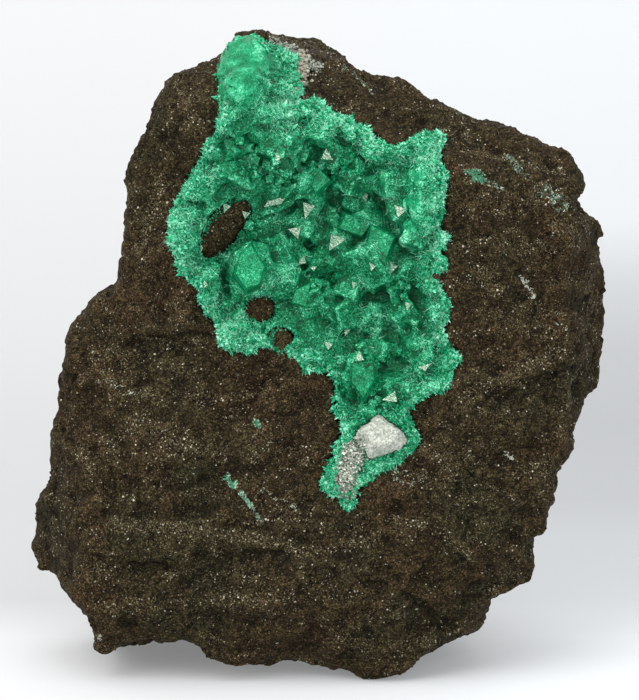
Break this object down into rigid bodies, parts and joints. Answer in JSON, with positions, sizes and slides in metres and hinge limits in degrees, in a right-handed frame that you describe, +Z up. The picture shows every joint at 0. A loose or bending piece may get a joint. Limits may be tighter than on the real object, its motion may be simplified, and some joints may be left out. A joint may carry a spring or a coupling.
{
  "type": "bornite specimen",
  "caption": "Broken block of dark brown bornite ore with an open pocket lined by bright green crystals, a pale calcite crystal and grey calcite at its crest.",
  "frame": {"origin": "centre of the specimen's bounding box across and front to back, on the flat that it rests on", "axes": "+Z up, the longest extent; -Y towards the viewer, out of the face with the crystal pocket; +X to the viewer's right"},
  "size_m": [0.072, 0.0432, 0.0798],
  "materials": {
    "bornite_ore": "dark brown, grainy broken ore with small brassy and pale sparkles, submetallic",
    "green_crystal": "vitreous, slightly translucent bright green crystal with paler tips and rim",
    "grey_calcite": "grey, sugary, slightly translucent calcite",
    "white_calcite": "milky white calcite crystal with a faint green cast"
  },
  "bodies": {
    "root": {"bornite_matrix": "bornite_ore", "green_crystal_crust": "green_crystal", "grey_calcite_cap": "grey_calcite", "grey_calcite_vein": "grey_calcite", "white_calcite_crystal": "white_calcite"}
  },
  "joints": []
}
